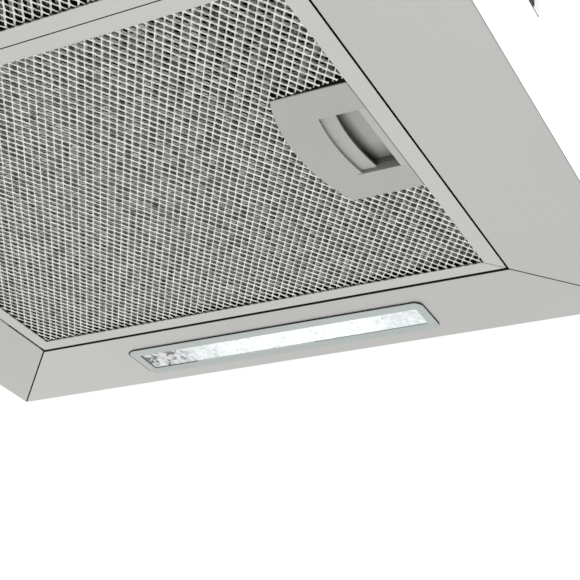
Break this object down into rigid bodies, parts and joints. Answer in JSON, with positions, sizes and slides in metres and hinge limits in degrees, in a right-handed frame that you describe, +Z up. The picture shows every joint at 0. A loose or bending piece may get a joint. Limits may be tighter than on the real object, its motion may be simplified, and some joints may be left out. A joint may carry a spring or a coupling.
{
  "type": "under cabinet range hood",
  "caption": "Slim folded-steel range hood that hangs under a cabinet: latched mesh grease filters, side lamp strips, push-button panel, twin-wheel blower and a rectangular duct collar.",
  "frame": {"origin": "middle of the top face, at the centre of the four slots that hang the hood under the cabinet", "axes": "+X to the right of someone facing the hood, +Y to the wall behind it, +Z up into the cabinet; the underside is 152 mm below the origin"},
  "size_m": [0.764, 0.527, 0.1932],
  "materials": {
    "bezel_silver": "satin",
    "black_plastic": "matte",
    "brushed_steel": "brushed",
    "button_chrome": "satin",
    "circuit_board": "satin",
    "fastener": "polished",
    "filter_aluminium": "satin",
    "filter_mesh": "bright",
    "galvanised_steel": "galvanised",
    "handle_plastic": "matte",
    "laminations": "matte",
    "lamp_bezel": "frosted",
    "lamp_lens": "clear",
    "led_phosphor": "matte",
    "panel_black": "gloss",
    "shaft_steel": "polished",
    "spring_steel": "satin",
    "switch_black": "matte",
    "terminal_plastic": "matte",
    "wheel_aluminium": "satin",
    "white_plastic": "matte"
  },
  "bodies": {
    "hood": {"body_wrap": "brushed_steel", "rear_panel": "brushed_steel", "top_panel": "brushed_steel", "side_rivets": "fastener", "duct_collar": "galvanised_steel", "collar_screws": "fastener", "rear_duct_cover": "brushed_steel", "cover_screws": "fastener", "blower_scroll": "galvanised_steel", "inlet_rings": "galvanised_steel", "blower_screws": "fastener", "motor_bracket": "galvanised_steel", "motor_shell": "galvanised_steel", "motor_stator": "laminations", "wiring_box": "galvanised_steel", "wiring_cover": "galvanised_steel", "wiring_screws": "fastener", "terminal_block": "terminal_plastic", "capacitor": "black_plastic", "capacitor_clip": "galvanised_steel", "cable_gland": "black_plastic", "led_driver": "white_plastic", "control_bezel": "bezel_silver", "control_panel": "panel_black", "control_board": "circuit_board", "control_switches": "switch_black", "lamp_right_housing": "white_plastic", "lamp_right_bezel": "lamp_bezel", "lamp_right_lens": "lamp_lens", "lamp_right_board": "white_plastic", "lamp_right_leds": "led_phosphor", "lamp_left_housing": "white_plastic", "lamp_left_bezel": "lamp_bezel", "lamp_left_lens": "lamp_lens", "lamp_left_board": "white_plastic", "lamp_left_leds": "led_phosphor"},
    "fan": {"motor_rotor": "laminations", "motor_shaft": "shaft_steel", "wheel_left": "wheel_aluminium", "wheel_right": "wheel_aluminium"},
    "damper": {"damper_flap": "galvanised_steel"},
    "filter_right": {"filter_right_frame": "filter_aluminium", "filter_right_mesh": "filter_mesh", "filter_right_handle": "handle_plastic", "filter_right_back": "handle_plastic", "filter_right_springs": "spring_steel"},
    "filter_left": {"filter_left_frame": "filter_aluminium", "filter_left_mesh": "filter_mesh", "filter_left_handle": "handle_plastic", "filter_left_back": "handle_plastic", "filter_left_springs": "spring_steel"},
    "latch_right": {"filter_right_latch": "handle_plastic"},
    "latch_left": {"filter_left_latch": "handle_plastic"},
    "button_1": {"button_1": "button_chrome"},
    "button_2": {"button_2": "button_chrome"},
    "button_3": {"button_3": "button_chrome"},
    "button_4": {"button_4": "button_chrome"},
    "button_5": {"button_5": "button_chrome"}
  },
  "joints": [
    {"name": "fan_spin", "type": "hinge", "parent": "hood", "child": "fan", "pos_m": [0, 0.145, -0.064], "axis": [1, 0, 0], "continuous": true},
    {"name": "damper_swing", "type": "hinge", "parent": "hood", "child": "damper", "pos_m": [0, 0.1505, 0.007], "axis": [1, 0, 0], "range_deg": [0, 80]},
    {"name": "filter_right_tilt", "type": "hinge", "parent": "hood", "child": "filter_right", "pos_m": [0.1535, 0.188, -0.15095], "axis": [1, 0, 0], "range_deg": [0, 50]},
    {"name": "latch_right_pull", "type": "slide", "parent": "filter_right", "child": "latch_right", "axis": [0, 1, 0], "range_m": [0, 0.006], "stiffness_N_per_m": 400, "springref_m": -0.006, "deforming": ["filter_right_springs"]},
    {"name": "filter_left_tilt", "type": "hinge", "parent": "hood", "child": "filter_left", "pos_m": [-0.1535, 0.188, -0.15095], "axis": [1, 0, 0], "range_deg": [0, 50]},
    {"name": "latch_left_pull", "type": "slide", "parent": "filter_left", "child": "latch_left", "axis": [0, 1, 0], "range_m": [0, 0.006], "stiffness_N_per_m": 400, "springref_m": -0.006, "deforming": ["filter_left_springs"]},
    {"name": "press_1", "type": "slide", "parent": "hood", "child": "button_1", "axis": [0, 1, 0], "range_m": [0, 0.002], "stiffness_N_per_m": 500, "springref_m": -0.002},
    {"name": "press_2", "type": "slide", "parent": "hood", "child": "button_2", "axis": [0, 1, 0], "range_m": [0, 0.002], "stiffness_N_per_m": 500, "springref_m": -0.002},
    {"name": "press_3", "type": "slide", "parent": "hood", "child": "button_3", "axis": [0, 1, 0], "range_m": [0, 0.002], "stiffness_N_per_m": 500, "springref_m": -0.002},
    {"name": "press_4", "type": "slide", "parent": "hood", "child": "button_4", "axis": [0, 1, 0], "range_m": [0, 0.002], "stiffness_N_per_m": 500, "springref_m": -0.002},
    {"name": "press_5", "type": "slide", "parent": "hood", "child": "button_5", "axis": [0, 1, 0], "range_m": [0, 0.002], "stiffness_N_per_m": 500, "springref_m": -0.002}
  ]
}
